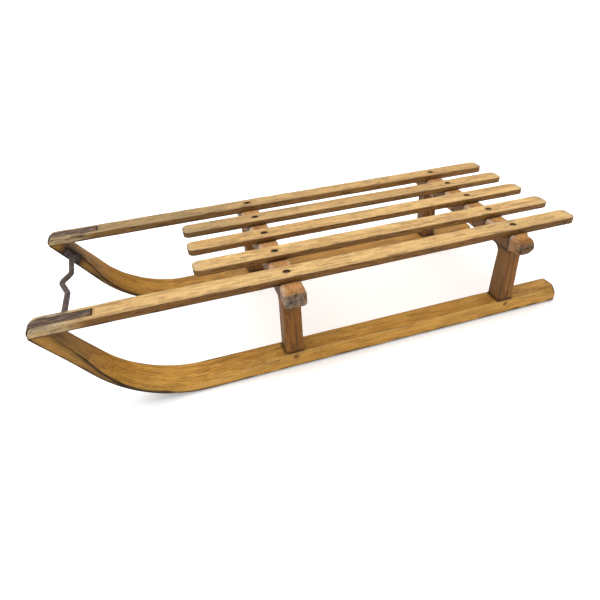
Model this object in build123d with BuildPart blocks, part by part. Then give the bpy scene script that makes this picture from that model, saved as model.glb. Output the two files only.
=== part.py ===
"""Davos-type wooden toboggan: two bent runners, five boards on two crossbars, four legs and iron fittings.

Frame: +X is forward (the upturned tips), +Y is the rider's left, +Z is up.
The origin is on the ground, halfway along the sledge and halfway between the runners.
Left-hand pieces are built first and mirrored about the XZ plane, apart from the runners: both are planed
on their left side, so the two are the same blank, and only their joints are mirrored.
"""
from build123d import *
from math import cos, radians, sin
import os

# ---- overall size, mm ----
LENGTH = 1008
HEIGHT = 200
FRONT = LENGTH / 2
REAR = -LENGTH / 2

# ---- seat boards ----
BOARD_WIDTH = 40
BOARD_PITCH = 80
RAIL_THICKNESS = 14
SLAT_THICKNESS = 12
SLAT_FRONT = 241
BOARD_END_RADIUS = 13
BOARD_EDGE_ROUND = 2
RAIL_Y = 2 * BOARD_PITCH

# ---- crossbars ----
CROSSBAR_X = {"front": 90, "rear": -369}
CROSSBAR_WIDTH = 40
CROSSBAR_SPAN = 430
CROSSBAR_BOTTOM = 155
CROSSBAR_TOP = 189
KNUCKLE_TOP_RADIUS = 17
KNUCKLE_BOTTOM_RADIUS = 10
CROSSBAR_EDGE_ROUND = 4

# ---- runners: a straight sole, one bend, a straight upturn and a small nose ----
IRON = 3
RUNNER_INNER_Y = 138
RUNNER_OUTER_Y = 182
RUNNER_HEIGHT = 34
RUNNER_REAR = -500
SOLE_CHAMFER = 3
EDGE_CHAMFER = 1.5
BEND_RADIUS = 220
BEND_ANGLE = 53
NOSE_RADIUS = 12
HEEL_CORNER = 3
HEEL_CLIP = 15
HEEL_CLIP_LENGTH = 55

# ---- legs ----
LEG_WIDTH = 34
LEG_OUTER_Y = 178
LEG_FOOT_INNER_Y = 142
LEG_NECK_INNER_Y = 149
LEG_SHOULDER_RADIUS = 15
LEG_SHOULDER_LIP = 1.5
LEG_EDGE_ROUND = 1.5
TENON_LENGTH = 24
TENON_WIDTH = 18
TENON_Y = 162
TENON_FOOT_DEPTH = 18
TENON_HEAD_DEPTH = 20

# ---- iron bands under the runners ----
BAND_SOLE_WIDTH = 30
BAND_TIP_WIDTH = 20
BAND_REAR = -496
BAND_TAPER = (334, 404)
BAND_TOP_END = 408
SLOT_GAP = 1.5

# ---- draw rod across the tips ----
ROD_RADIUS = 5
ROD_X = 466
ROD_Z = 158
ROD_SEAT = 20
ROD_STRAIGHT_Y = 128
ROD_KINK = ((-4, -62), (12, -32), (-2, 10))
ROD_BEND_RADIUS = 22
ROD_PLATE = (30, 15, 1.5)
ROD_PLATE_Y = 140

# ---- fixings ----
CLEARANCE = 0.1
SCREW_HEAD_RADIUS = 5
SCREW_SHANK_RADIUS = 2.5
SCREW_LENGTH = 32
RECESS_RADIUS = 5.5
RECESS_DEPTH = 2.5
HEAD_HEIGHT = 2.5
BAND_SCREW_HEAD_RADIUS = 4
BAND_SCREW_SHANK_RADIUS = 2
SOLE_SCREW_X = (-451, -241, -86, 204)
SOLE_SCREW_LENGTH = 18
TIP_SCREWS = {422: 12, 478: 24}
LEG_PIN_RADIUS = 3
LEG_PIN_Z = 26
LEG_PIN_INNER_Y = 150
LEG_PIN_RECESS = 1.5
LEG_PIN_RECESS_RADIUS = 4

# Places that follow from the nose and the bend: the nose ends at FRONT, and the upturn is tangent to both.
NOSE_X = FRONT - NOSE_RADIUS
NOSE_Z = HEIGHT - NOSE_RADIUS
SINE = sin(radians(BEND_ANGLE))
COSINE = cos(radians(BEND_ANGLE))
UPTURN_RUN = (NOSE_Z - NOSE_RADIUS * COSINE - BEND_RADIUS * (1 - COSINE)) / SINE
BEND_START = NOSE_X + NOSE_RADIUS * SINE - UPTURN_RUN * COSINE - BEND_RADIUS * SINE

pieces = {}


def keep(name, builder):
    """Label a finished piece and remember it for export."""
    builder.part.label = name
    pieces[name] = builder.part


def keep_pair(name, left):
    """Keep a left-hand piece and its mirror image."""
    with BuildPart() as right:
        mirror(left.part, about=Plane.XZ)
    keep(f"{name}_left", left)
    keep(f"{name}_right", right)


def bend_point(inset, angle):
    """Point (x, z) in the bend, inset from the iron's outer face, at an angle from the vertical."""
    radius = BEND_RADIUS - inset
    return (BEND_START + radius * sin(radians(angle)), BEND_RADIUS - radius * cos(radians(angle)))


def nose_point(inset, angle):
    """Point (x, z) on the nose, inset from the iron's outer face; 0 faces down, 90 forward, 180 up."""
    radius = NOSE_RADIUS - inset
    return (NOSE_X + radius * sin(radians(angle)), NOSE_Z - radius * cos(radians(angle)))


def band_line(inset, start_x, end_x):
    """The band's side view at one inset: sole, bend, upturn, nose, and back along the rail's top."""
    Line((start_x, inset), bend_point(inset, 0))
    ThreePointArc(bend_point(inset, 0), bend_point(inset, BEND_ANGLE / 2), bend_point(inset, BEND_ANGLE))
    Line(bend_point(inset, BEND_ANGLE), nose_point(inset, BEND_ANGLE))
    ThreePointArc(nose_point(inset, BEND_ANGLE), nose_point(inset, 115), nose_point(inset, 180))
    Line(nose_point(inset, 180), (end_x, HEIGHT - inset))


def sole_plane(x):
    """Section plane across the straight sole: local x is +Y, local y is up."""
    return Plane(origin=(x, 0, 0), x_dir=(0, 1, 0), z_dir=(1, 0, 0))


def bend_plane(angle):
    """Section plane across the bend, at an angle from the vertical."""
    x, z = bend_point(0, angle)
    return Plane(origin=(x, 0, z), x_dir=(0, 1, 0), z_dir=(cos(radians(angle)), 0, sin(radians(angle))))


def upturn_plane(run):
    """Section plane across the upturn, at a distance beyond the bend."""
    x, z = bend_point(0, BEND_ANGLE)
    return Plane(origin=(x + run * COSINE, 0, z + run * SINE), x_dir=(0, 1, 0), z_dir=(COSINE, 0, SINE))


def runner_outline(height, side_height, narrowing=0):
    """Left runner's section: its inner side at one height, and a top that slopes down to its left side's."""
    inner = RUNNER_INNER_Y + narrowing
    outer = RUNNER_OUTER_Y - narrowing
    return (
        (inner, IRON),
        (outer - SOLE_CHAMFER, IRON),
        (outer, IRON + SOLE_CHAMFER / 2),
        (outer, side_height),
        (inner + EDGE_CHAMFER, height),
        (inner, height - EDGE_CHAMFER),
    )


def screw(x, y, top, length, head_radius, shank_radius):
    """A slotted wood screw pointing down, with its head's top at the given height."""
    with Locations((x, y, top)):
        Cylinder(head_radius, 1, align=(Align.CENTER, Align.CENTER, Align.MAX))
    with Locations((x, y, top - 1)):
        Cone(shank_radius, head_radius, HEAD_HEIGHT - 1, align=(Align.CENTER, Align.CENTER, Align.MAX))
    with Locations((x, y, top - HEAD_HEIGHT)):
        Cylinder(shank_radius, length - HEAD_HEIGHT, align=(Align.CENTER, Align.CENTER, Align.MAX))


def board_holes(y, top, thickness):
    """Recessed screw holes through a board, one over each crossbar."""
    for x in CROSSBAR_X.values():
        with Locations((x, y, top)):
            CounterBoreHole(SCREW_SHANK_RADIUS + CLEARANCE, RECESS_RADIUS,
                            RECESS_DEPTH + HEAD_HEIGHT, thickness)


# ---- iron bands: the sole strips that turn up round the nose and end in the rails' grooves ----
with BuildPart() as band:
    with BuildSketch(Plane.XZ.offset(-RAIL_Y - BAND_SOLE_WIDTH / 2)):
        with BuildLine():
            band_line(0, BAND_REAR, BAND_TOP_END)
            Line((BAND_TOP_END, HEIGHT), (BAND_TOP_END, HEIGHT - IRON))
            band_line(IRON, BAND_REAR, BAND_TOP_END)
            Line((BAND_REAR, 0), (BAND_REAR, IRON))
        make_face()
    extrude(amount=BAND_SOLE_WIDTH)
    with BuildSketch():
        for side in (-1, 1):
            with BuildLine():
                Polyline(
                    (BAND_TAPER[0], RAIL_Y + side * BAND_SOLE_WIDTH / 2),
                    (BAND_TAPER[1], RAIL_Y + side * BAND_TIP_WIDTH / 2),
                    (FRONT + IRON, RAIL_Y + side * BAND_TIP_WIDTH / 2),
                    (FRONT + IRON, RAIL_Y + side * BAND_SOLE_WIDTH),
                    (BAND_TAPER[0], RAIL_Y + side * BAND_SOLE_WIDTH),
                    close=True,
                )
            make_face()
    extrude(amount=HEIGHT + IRON, mode=Mode.SUBTRACT)
    for x in SOLE_SCREW_X:
        with Locations(Location((x, RAIL_Y, 0), (180, 0, 0))):
            CounterSinkHole(BAND_SCREW_SHANK_RADIUS + CLEARANCE, BAND_SCREW_HEAD_RADIUS + CLEARANCE, IRON)
    for x in TIP_SCREWS:
        with Locations((x, RAIL_Y, HEIGHT)):
            CounterSinkHole(BAND_SCREW_SHANK_RADIUS + CLEARANCE, BAND_SCREW_HEAD_RADIUS + CLEARANCE, IRON)

keep_pair("runner_band", band)

# ---- runners: a straight bar whose left top edge is planed away towards the bend ----
PLANED_SOLE = {124: 34, 159: 26, 204: 18}
PLANED_BEND = {0: (34, 13), 5: (34, 11.5), 10: (34, 10), 15: (33.5, 9), 20: (33, 8), 25: (32.5, 7),
               30: (31.5, 6.5), 35: (30.5, 7), 40: (29, 8.5), 45: (28, 11), 49: (27, 12.5)}
PLANED_UPTURN = {0: (26.5, 14, 0), 15: (26.5, 17.5, 0.5), 31: (26.5, 21, 1), 60: (26.5, 25.5, 2),
                 160: (26.5, 25.5, 2)}

with BuildPart() as runner_blank:
    for x, side_height in PLANED_SOLE.items():
        with BuildSketch(sole_plane(x)):
            Polygon(*runner_outline(RUNNER_HEIGHT, side_height), align=None)
    for angle, (height, side_height) in PLANED_BEND.items():
        with BuildSketch(bend_plane(angle)):
            Polygon(*runner_outline(height, side_height), align=None)
    for run, (height, side_height, narrowing) in PLANED_UPTURN.items():
        with BuildSketch(upturn_plane(run)):
            Polygon(*runner_outline(height, side_height, narrowing), align=None)
    loft(ruled=True)
    with BuildSketch(sole_plane(RUNNER_REAR)):
        Polygon(*runner_outline(RUNNER_HEIGHT, RUNNER_HEIGHT), align=None)
    extrude(amount=min(PLANED_SOLE) - RUNNER_REAR)
    rear_corners = edges().filter_by(Axis.Z).group_by(Axis.X)[0]
    chamfer(rear_corners, HEEL_CORNER)
    # The heel's left top edge is clipped, deepest at the very end.
    for x, clip in ((RUNNER_REAR, HEEL_CLIP), (RUNNER_REAR + HEEL_CLIP_LENGTH, 0.5)):
        with BuildSketch(sole_plane(x)):
            Polygon(
                (RUNNER_OUTER_Y, RUNNER_HEIGHT),
                (RUNNER_OUTER_Y - clip, RUNNER_HEIGHT),
                (RUNNER_OUTER_Y, RUNNER_HEIGHT - clip),
                align=None,
            )
    loft(mode=Mode.SUBTRACT)
    # The upturn is cut level under the rail.
    with Locations((FRONT, RAIL_Y, HEIGHT - RAIL_THICKNESS)):
        Box(200, 80, 200, align=(Align.CENTER, Align.CENTER, Align.MIN), mode=Mode.SUBTRACT)

for name, side in (("left", 1), ("right", -1)):
    with BuildPart() as runner:
        add(Pos(0, (side - 1) * RAIL_Y, 0) * runner_blank.part)
        # The point is shaped to the inside of the band's nose.
        add(pieces[f"runner_band_{name}"], mode=Mode.SUBTRACT)
        for x in CROSSBAR_X.values():
            with Locations((x, side * TENON_Y, RUNNER_HEIGHT)):
                Box(TENON_LENGTH, TENON_WIDTH, TENON_FOOT_DEPTH,
                    align=(Align.CENTER, Align.CENTER, Align.MAX), mode=Mode.SUBTRACT)
            with BuildSketch(Plane.XZ.offset(-side * RUNNER_OUTER_Y)):
                with Locations((x, LEG_PIN_Z)):
                    Circle(LEG_PIN_RADIUS + CLEARANCE)
            extrude(amount=side * (RUNNER_OUTER_Y - LEG_PIN_INNER_Y), mode=Mode.SUBTRACT)
            with BuildSketch(Plane.XZ.offset(-side * RUNNER_OUTER_Y)):
                with Locations((x, LEG_PIN_Z)):
                    Circle(LEG_PIN_RECESS_RADIUS)
            extrude(amount=side * LEG_PIN_RECESS, mode=Mode.SUBTRACT)
        with BuildSketch(Plane.XZ.offset(-side * RUNNER_INNER_Y)):
            with Locations((ROD_X, ROD_Z)):
                Circle(ROD_RADIUS + CLEARANCE)
        extrude(amount=-side * (ROD_SEAT + CLEARANCE), mode=Mode.SUBTRACT)
        for x in SOLE_SCREW_X:
            with Locations((x, side * RAIL_Y, 0)):
                Cylinder(BAND_SCREW_SHANK_RADIUS + CLEARANCE, SOLE_SCREW_LENGTH,
                         align=(Align.CENTER, Align.CENTER, Align.MIN), mode=Mode.SUBTRACT)
        for x, length in TIP_SCREWS.items():
            with Locations((x, side * RAIL_Y, HEIGHT)):
                Cylinder(BAND_SCREW_SHANK_RADIUS + CLEARANCE, length,
                         align=(Align.CENTER, Align.CENTER, Align.MAX), mode=Mode.SUBTRACT)
    keep(f"runner_{name}", runner)

# ---- side rails: the two outer boards, which reach the tips ----
with BuildPart() as rail:
    with BuildSketch(Plane.XZ.offset(-RAIL_Y - BOARD_WIDTH / 2)):
        with BuildLine():
            nose_corner = (FRONT - IRON, NOSE_Z)
            nose_arc_end = (FRONT - IRON - NOSE_RADIUS, HEIGHT)
            nose_arc_middle = (FRONT - IRON - NOSE_RADIUS * (1 - sin(radians(45))),
                               NOSE_Z + NOSE_RADIUS * sin(radians(45)))
            Polyline(
                nose_arc_end,
                (REAR, HEIGHT),
                (REAR, HEIGHT - RAIL_THICKNESS),
                (FRONT - IRON, HEIGHT - RAIL_THICKNESS),
                nose_corner,
            )
            ThreePointArc(nose_corner, nose_arc_middle, nose_arc_end)
        make_face()
    extrude(amount=BOARD_WIDTH)
    fillet(edges().filter_by(Axis.Z).group_by(Axis.X)[0], BOARD_END_RADIUS)
    top_long_edges = edges().filter_by(Axis.X).group_by(Axis.Z)[-1]
    chamfer(top_long_edges, BOARD_EDGE_ROUND)
    add(band.part, mode=Mode.SUBTRACT)
    with Locations((BAND_TOP_END, RAIL_Y, HEIGHT)):
        Box(SLOT_GAP, BAND_TIP_WIDTH, IRON, align=(Align.MAX, Align.CENTER, Align.MAX), mode=Mode.SUBTRACT)
    board_holes(RAIL_Y, HEIGHT, RAIL_THICKNESS)
    for x, length in TIP_SCREWS.items():
        with Locations((x, RAIL_Y, HEIGHT)):
            CounterBoreHole(BAND_SCREW_SHANK_RADIUS + CLEARANCE, BAND_SCREW_HEAD_RADIUS + CLEARANCE,
                            IRON, length)

keep_pair("side_rail", rail)

# ---- inner seat slats: three shorter boards with rounded ends ----
SLAT_LENGTH = SLAT_FRONT - REAR
SLAT_CENTRE = (SLAT_FRONT + REAR) / 2
for name, y in {"left": BOARD_PITCH, "centre": 0, "right": -BOARD_PITCH}.items():
    with BuildPart() as slat:
        with BuildSketch(Plane.XY.offset(HEIGHT - SLAT_THICKNESS)):
            with Locations((SLAT_CENTRE, y)):
                RectangleRounded(SLAT_LENGTH, BOARD_WIDTH, BOARD_END_RADIUS)
        extrude(amount=SLAT_THICKNESS)
        fillet(faces().sort_by(Axis.Z)[-1].edges(), BOARD_EDGE_ROUND)
        board_holes(y, HEIGHT, SLAT_THICKNESS)
    keep(f"seat_slat_{name}", slat)

# ---- crossbars: square bars with rounded knuckle ends, housed for the five boards ----
with BuildPart() as crossbar:
    with BuildSketch(Plane.YZ.offset(-CROSSBAR_WIDTH / 2)):
        with Locations((0, (CROSSBAR_TOP + CROSSBAR_BOTTOM) / 2)):
            Rectangle(CROSSBAR_SPAN, CROSSBAR_TOP - CROSSBAR_BOTTOM)
        fillet(vertices().group_by(Axis.Z)[-1], KNUCKLE_TOP_RADIUS)
        fillet(vertices().group_by(Axis.Z)[0], KNUCKLE_BOTTOM_RADIUS)
    extrude(amount=CROSSBAR_WIDTH)
    fillet(faces().sort_by(Axis.X)[0].edges() + faces().sort_by(Axis.X)[-1].edges(), CROSSBAR_EDGE_ROUND)
    for row in range(-2, 3):
        thickness = RAIL_THICKNESS if abs(row) == 2 else SLAT_THICKNESS
        with Locations((0, row * BOARD_PITCH, HEIGHT - thickness)):
            Box(CROSSBAR_WIDTH, BOARD_WIDTH, RAIL_THICKNESS,
                align=(Align.CENTER, Align.CENTER, Align.MIN), mode=Mode.SUBTRACT)
        with Locations((0, row * BOARD_PITCH, HEIGHT)):
            Cylinder(SCREW_SHANK_RADIUS + CLEARANCE, SCREW_LENGTH + RECESS_DEPTH,
                     align=(Align.CENTER, Align.CENTER, Align.MAX), mode=Mode.SUBTRACT)
    for y in (-TENON_Y, TENON_Y):
        with Locations((0, y, CROSSBAR_BOTTOM)):
            Box(TENON_LENGTH, TENON_WIDTH, TENON_HEAD_DEPTH,
                align=(Align.CENTER, Align.CENTER, Align.MIN), mode=Mode.SUBTRACT)

for name, x in CROSSBAR_X.items():
    with BuildPart() as placed_crossbar:
        add(Pos(x, 0, 0) * crossbar.part)
    keep(f"crossbar_{name}", placed_crossbar)

# ---- legs: tapered posts with a flared inner shoulder, tenoned at both ends ----
LEG_NECK_Z = CROSSBAR_BOTTOM - LEG_SHOULDER_LIP - LEG_SHOULDER_RADIUS

with BuildPart() as leg:
    with BuildSketch(Plane.YZ.offset(-LEG_WIDTH / 2)):
        with BuildLine():
            Polyline(
                (LEG_NECK_INNER_Y, LEG_NECK_Z),
                (LEG_FOOT_INNER_Y, RUNNER_HEIGHT),
                (LEG_OUTER_Y, RUNNER_HEIGHT),
                (LEG_OUTER_Y, CROSSBAR_BOTTOM),
                (LEG_NECK_INNER_Y - LEG_SHOULDER_RADIUS, CROSSBAR_BOTTOM),
                (LEG_NECK_INNER_Y - LEG_SHOULDER_RADIUS, CROSSBAR_BOTTOM - LEG_SHOULDER_LIP),
            )
            JernArc((LEG_NECK_INNER_Y, LEG_NECK_Z), (0, 1), LEG_SHOULDER_RADIUS, 90)
        make_face()
    extrude(amount=LEG_WIDTH)
    upright_edges = edges().filter_by(Axis.Z).group_by(Axis.Y)[-1]
    fillet(upright_edges, LEG_EDGE_ROUND)
    tenons = ((RUNNER_HEIGHT, TENON_FOOT_DEPTH), (CROSSBAR_BOTTOM + TENON_HEAD_DEPTH, TENON_HEAD_DEPTH))
    for z, depth in tenons:
        with Locations((0, TENON_Y, z)):
            Box(TENON_LENGTH, TENON_WIDTH, depth, align=(Align.CENTER, Align.CENTER, Align.MAX))
    with BuildSketch(Plane.XZ.offset(-LEG_OUTER_Y)):
        with Locations((0, LEG_PIN_Z)):
            Circle(LEG_PIN_RADIUS + CLEARANCE)
    extrude(amount=LEG_OUTER_Y - LEG_PIN_INNER_Y, mode=Mode.SUBTRACT)
    with Locations((0, RAIL_Y, HEIGHT)):
        Cylinder(SCREW_SHANK_RADIUS + CLEARANCE, SCREW_LENGTH + RECESS_DEPTH,
                 align=(Align.CENTER, Align.CENTER, Align.MAX), mode=Mode.SUBTRACT)

for name, x in CROSSBAR_X.items():
    with BuildPart() as placed_leg:
        add(Pos(x, 0, 0) * leg.part)
    keep_pair(f"leg_{name}", placed_leg)

# ---- draw rod: a round bar across the tips, kinked forward for the rope, with a plate at each end ----
ROD_END_Y = RUNNER_INNER_Y + ROD_SEAT

with BuildPart() as draw_rod:
    with BuildLine(Plane.XY.offset(ROD_Z)) as rod_line:
        FilletPolyline(
            (ROD_X, -ROD_END_Y),
            (ROD_X, -ROD_STRAIGHT_Y),
            *[(ROD_X + forward, y) for forward, y in ROD_KINK],
            (ROD_X, ROD_STRAIGHT_Y),
            (ROD_X, ROD_END_Y),
            radius=ROD_BEND_RADIUS,
        )
    with BuildSketch(Plane.XZ.offset(ROD_END_Y)):
        with Locations((ROD_X, ROD_Z)):
            Circle(ROD_RADIUS)
    sweep(path=rod_line.line)

keep("draw_rod", draw_rod)

with BuildPart() as rod_plate:
    with BuildSketch(Plane.XZ.offset(-ROD_PLATE_Y)):
        with Locations(Location((ROD_X, ROD_Z), BEND_ANGLE)):
            RectangleRounded(ROD_PLATE[0], ROD_PLATE[1], 3)
        with Locations((ROD_X, ROD_Z)):
            Circle(ROD_RADIUS + CLEARANCE, mode=Mode.SUBTRACT)
    extrude(amount=ROD_PLATE[2])

keep_pair("rod_plate", rod_plate)

# ---- fixings ----
for name, x in CROSSBAR_X.items():
    with BuildPart() as board_screws:
        for row in range(-2, 3):
            screw(x, row * BOARD_PITCH, HEIGHT - RECESS_DEPTH, SCREW_LENGTH,
                  SCREW_HEAD_RADIUS, SCREW_SHANK_RADIUS)
    keep(f"board_screws_{name}", board_screws)

with BuildPart() as leg_pins:
    for x in CROSSBAR_X.values():
        with BuildSketch(Plane.XZ.offset(-RUNNER_OUTER_Y + LEG_PIN_RECESS)):
            with Locations((x, LEG_PIN_Z)):
                Circle(LEG_PIN_RADIUS)
        extrude(amount=RUNNER_OUTER_Y - LEG_PIN_RECESS - LEG_PIN_INNER_Y)

keep_pair("leg_pins", leg_pins)

with BuildPart() as band_screws:
    for x in SOLE_SCREW_X:
        with Locations((x, RAIL_Y, 0)):
            Cone(BAND_SCREW_HEAD_RADIUS, BAND_SCREW_SHANK_RADIUS, IRON - 1,
                 align=(Align.CENTER, Align.CENTER, Align.MIN))
            Cylinder(BAND_SCREW_SHANK_RADIUS, SOLE_SCREW_LENGTH,
                     align=(Align.CENTER, Align.CENTER, Align.MIN))
    for x, length in TIP_SCREWS.items():
        with Locations((x, RAIL_Y, HEIGHT)):
            Cone(BAND_SCREW_SHANK_RADIUS, BAND_SCREW_HEAD_RADIUS, IRON - 1,
                 align=(Align.CENTER, Align.CENTER, Align.MAX))
            Cylinder(BAND_SCREW_SHANK_RADIUS, length, align=(Align.CENTER, Align.CENTER, Align.MAX))

keep_pair("band_screws", band_screws)

os.makedirs("parts", exist_ok=True)
for name, shape in pieces.items():
    export_step(shape, f"parts/{name}.step")
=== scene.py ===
"""Wooden toboggan: the visible meshes and materials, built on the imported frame. Lengths are in metres."""
from math import acos, cos, pi, radians, sin, tan

import bpy
import numpy as np
from mathutils import Matrix, Vector


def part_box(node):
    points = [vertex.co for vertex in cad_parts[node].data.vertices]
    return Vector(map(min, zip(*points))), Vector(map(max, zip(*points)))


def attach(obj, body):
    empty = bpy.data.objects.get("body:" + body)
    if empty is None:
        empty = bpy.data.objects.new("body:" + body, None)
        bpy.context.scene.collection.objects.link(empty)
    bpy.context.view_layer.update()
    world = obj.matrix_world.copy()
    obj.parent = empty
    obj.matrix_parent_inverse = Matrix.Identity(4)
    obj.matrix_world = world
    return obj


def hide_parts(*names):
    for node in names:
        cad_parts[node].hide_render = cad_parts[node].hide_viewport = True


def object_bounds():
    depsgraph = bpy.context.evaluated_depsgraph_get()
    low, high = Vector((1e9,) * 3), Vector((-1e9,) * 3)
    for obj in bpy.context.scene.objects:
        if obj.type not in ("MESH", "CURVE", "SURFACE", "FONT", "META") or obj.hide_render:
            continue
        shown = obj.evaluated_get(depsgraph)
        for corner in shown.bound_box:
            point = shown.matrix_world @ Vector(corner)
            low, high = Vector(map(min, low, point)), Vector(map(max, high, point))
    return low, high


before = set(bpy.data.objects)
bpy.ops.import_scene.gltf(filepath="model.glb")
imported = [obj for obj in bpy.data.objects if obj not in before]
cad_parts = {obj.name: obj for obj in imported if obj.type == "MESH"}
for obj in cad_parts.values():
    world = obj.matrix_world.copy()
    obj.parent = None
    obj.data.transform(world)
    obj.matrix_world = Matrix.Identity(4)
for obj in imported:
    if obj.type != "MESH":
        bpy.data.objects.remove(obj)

CAD_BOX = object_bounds()
MM = 0.001

# ---- the runners' curve and the main places, as in the CAD
BEND_RADIUS = 0.22
BEND_ANGLE = radians(53)
NOSE_RADIUS = 0.012
IRON = 0.003
TOP = CAD_BOX[1][2]
FRONT = CAD_BOX[1][0]
NOSE_X = FRONT - NOSE_RADIUS
NOSE_Z = TOP - NOSE_RADIUS
SIN, COS = sin(BEND_ANGLE), cos(BEND_ANGLE)
UPTURN = (NOSE_Z - NOSE_RADIUS * COS - BEND_RADIUS * (1 - COS)) / SIN
BEND_START = NOSE_X + NOSE_RADIUS * SIN - UPTURN * COS - BEND_RADIUS * SIN
BEND_END = BEND_START + BEND_RADIUS * BEND_ANGLE
RAIL_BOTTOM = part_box("side_rail_left")[0][2]
SLAT_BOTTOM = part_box("seat_slat_left")[0][2]
CROSSBAR_X = [sum(corner[0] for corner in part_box(f"crossbar_{end}")) / 2 for end in ("front", "rear")]
BOARD_PITCH = 0.08
BOARD_Y = [row * BOARD_PITCH for row in (-2, -1, 0, 1, 2)]
BOARD_HALF = 0.02
RAIL_Y = BOARD_Y[-1]


# ---- noise and mesh helpers
HASH_FACTORS = (374761393, 668265263, 2147483647)
HASH_MIX = 1274126177
HASH_WORD = 0xFFFFFFFF
HASH_HALF = 0xFFFF


def lattice(cells, seed):
    """A repeatable random number from 0 to 1 for each integer cell."""
    h = sum(cells[:, axis] * factor for axis, factor in enumerate(HASH_FACTORS)) + seed * HASH_MIX
    h &= HASH_WORD
    h = ((h ^ (h >> 13)) * HASH_MIX) & HASH_WORD
    return ((h ^ (h >> 16)) & HASH_HALF) / HASH_HALF


def noise(points, frequency, seed):
    """Smooth value noise from -1 to 1, with frequency in cells per metre along each axis."""
    q = np.asarray(points) * np.asarray(frequency)
    cell = np.floor(q).astype(np.int64)
    f = q - cell
    f = f * f * (3 - 2 * f)
    total = np.zeros(len(q))
    for corner in range(8):
        step = np.array([corner & 1, corner >> 1 & 1, corner >> 2 & 1])
        weight = np.prod(np.where(step, f, 1 - f), axis=1)
        total += weight * lattice(cell + step, seed)
    return total * 2 - 1


def noises(points, coarse, fine, seed, coarse_share=0.5, fine_share=0.5):
    """A coarse and a fine noise, added in the given shares."""
    return noise(points, coarse, seed) * coarse_share + noise(points, fine, seed + 1) * fine_share


def rise(low, high, value):
    """0 below low, 1 above high, smooth between."""
    t = np.clip((value - low) / (high - low), 0, 1)
    return t * t * (3 - 2 * t)


def fade(low, high, value):
    """1 below low, 0 above high, smooth between."""
    return 1 - rise(low, high, value)


def steps(low, high, radius, spacing):
    """Grid lines from low to high, close together within radius of each end."""
    near = radius * np.array([0, 0.1, 0.3, 0.55, 0.8, 1.0])
    count = max(2, round((high - low - 2 * radius) / spacing))
    middle = np.linspace(low + radius, high - radius, count + 1)[1:-1]
    return np.concatenate([low + near, middle, high - near[::-1]])


def cuboid(xs, ys, zs):
    """The surface of a box as a grid of quads through the given lines."""
    shape = (len(xs), len(ys), len(zs))
    grid = np.stack(np.meshgrid(xs, ys, zs, indexing="ij"), -1)
    outside = np.zeros(shape, bool)
    for axis in range(3):
        ends = [slice(None)] * 3
        ends[axis] = [0, -1]
        outside[tuple(ends)] = True
    index = np.full(shape, -1)
    index[outside] = np.arange(outside.sum())
    faces = []
    for axis in range(3):
        for end in (0, -1):
            sheet = np.take(index, end, axis)
            quads = np.stack([sheet[:-1, :-1], sheet[1:, :-1], sheet[1:, 1:], sheet[:-1, 1:]], -1)
            quads = quads.reshape(-1, 4)
            faces.append(quads[:, ::-1] if (end == 0) != (axis == 1) else quads)
    return grid[outside], np.concatenate(faces)


def round_edges(points, low, high, radius):
    """Rounds the edges of a box, or a flat outline's corners; radius is one number or one for each point."""
    r = np.broadcast_to(np.asarray(radius, float).reshape(-1, 1), (len(points), 1))
    inner = np.clip(points, np.asarray(low) + r, np.asarray(high) - r)
    offset = points - inner
    length = np.linalg.norm(offset, axis=1, keepdims=True)
    return inner + offset * np.minimum(r / np.maximum(length, 1e-9), 1)


def vertex_normals(points, faces):
    a, b, c, d = (points[faces[:, k]] for k in range(4))
    face_normal = np.cross(c - a, d - b)
    total = np.zeros_like(points)
    for k in range(4):
        np.add.at(total, faces[:, k], face_normal)
    return total / np.maximum(np.linalg.norm(total, axis=1, keepdims=True), 1e-12)


def pushed(points, faces, height):
    """The points moved along their normals by the height."""
    return points + vertex_normals(points, faces) * height[:, None]


def new_object(name, data):
    thing = bpy.data.objects.new(name, data)
    bpy.context.scene.collection.objects.link(thing)
    return thing


def make(name, points, faces):
    mesh = bpy.data.meshes.new(name)
    mesh.from_pydata([tuple(p) for p in points], [], [tuple(f) for f in faces])
    mesh.validate()
    mesh.update()
    return new_object(name, mesh)


def prism(outline, low, high, axis):
    """A closed prism along Y or Z: its outline lies in the other two directions, from low to high."""
    n = len(outline)
    points = []
    for level in (low, high):
        points += [(a, level, b) if axis == "Y" else (a, b, level) for a, b in outline]
    faces = [tuple(range(n)), tuple(range(2 * n - 1, n - 1, -1))]
    faces += [(k, k + n, (k + 1) % n + n, (k + 1) % n) for k in range(n)]
    return points, faces


def lathe(profile, segments):
    """A closed solid of revolution about Z. The profile's (radius, z) points run up from axis to axis."""
    turns = [2 * pi * k / segments for k in range(segments)]
    points = [(0, 0, profile[0][1])]
    for radius, z in profile[1:-1]:
        points += [(radius * cos(turn), radius * sin(turn), z) for turn in turns]
    points.append((0, 0, profile[-1][1]))
    rings = len(profile) - 2
    faces = []
    for k in range(segments):
        j = (k + 1) % segments
        faces.append((0, 1 + j, 1 + k))
        for ring in range(rings - 1):
            a = 1 + ring * segments
            faces.append((a + k, a + j, a + segments + j, a + segments + k))
        a = 1 + (rings - 1) * segments
        faces.append((a + k, a + j, len(points) - 1))
    return np.array(points), faces


def merged(parts):
    """Joins (points, faces) pairs into one pair."""
    points, faces = [], []
    for p, f in parts:
        start = len(points)
        points += [tuple(q) for q in p]
        faces += [tuple(int(i) + start for i in face) for face in f]
    return points, faces


def cut(piece, parts):
    """Subtracts closed solids, given as (points, faces) pairs, from a piece."""
    cutter = make("cutter", *merged(parts))
    modifier = piece.modifiers.new("cut", "BOOLEAN")
    modifier.operation = "DIFFERENCE"
    modifier.solver = "EXACT"
    modifier.object = cutter
    graph = bpy.context.evaluated_depsgraph_get()
    result = bpy.data.meshes.new_from_object(piece.evaluated_get(graph))
    piece.modifiers.clear()
    old = piece.data
    piece.data = result
    bpy.data.meshes.remove(old)
    bpy.data.objects.remove(cutter)


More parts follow.
